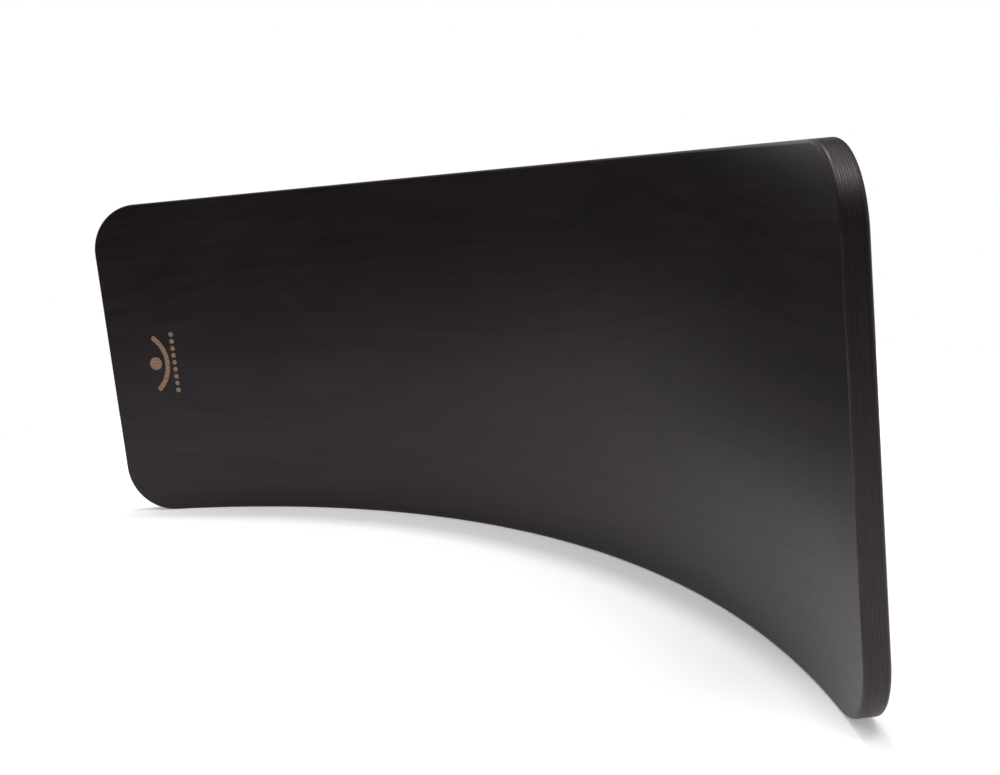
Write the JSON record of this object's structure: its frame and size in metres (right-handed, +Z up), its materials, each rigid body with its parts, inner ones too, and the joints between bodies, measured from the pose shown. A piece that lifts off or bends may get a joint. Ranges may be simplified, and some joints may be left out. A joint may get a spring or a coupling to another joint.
{
  "type": "balance board",
  "caption": "Curved bent-plywood balance board with rounded corners, stained black; it rocks on its convex face, bridges as an arch or stands on a long edge.",
  "frame": {"origin": "on the ground under the centre of the bounding box, with the board standing on one long edge", "axes": "+X along the board's length, +Y from the hollow side towards the convex side, +Z up across the board's width"},
  "size_m": [0.8278, 0.1708, 0.3],
  "materials": {
    "face_veneer": "black stain under satin lacquer, faint grain along the board",
    "long_ply": "black-stained edge of a veneer with its grain along the board",
    "cross_ply": "black-stained end grain, a little darker and rougher"
  },
  "bodies": {
    "root": {"concave_face_veneer": "face_veneer", "cross_ply_1": "cross_ply", "long_ply_1": "long_ply", "cross_ply_2": "cross_ply", "long_ply_2": "long_ply", "core_ply": "cross_ply", "long_ply_3": "long_ply", "cross_ply_3": "cross_ply", "long_ply_4": "long_ply", "cross_ply_4": "cross_ply", "convex_face_veneer": "face_veneer"}
  },
  "joints": []
}
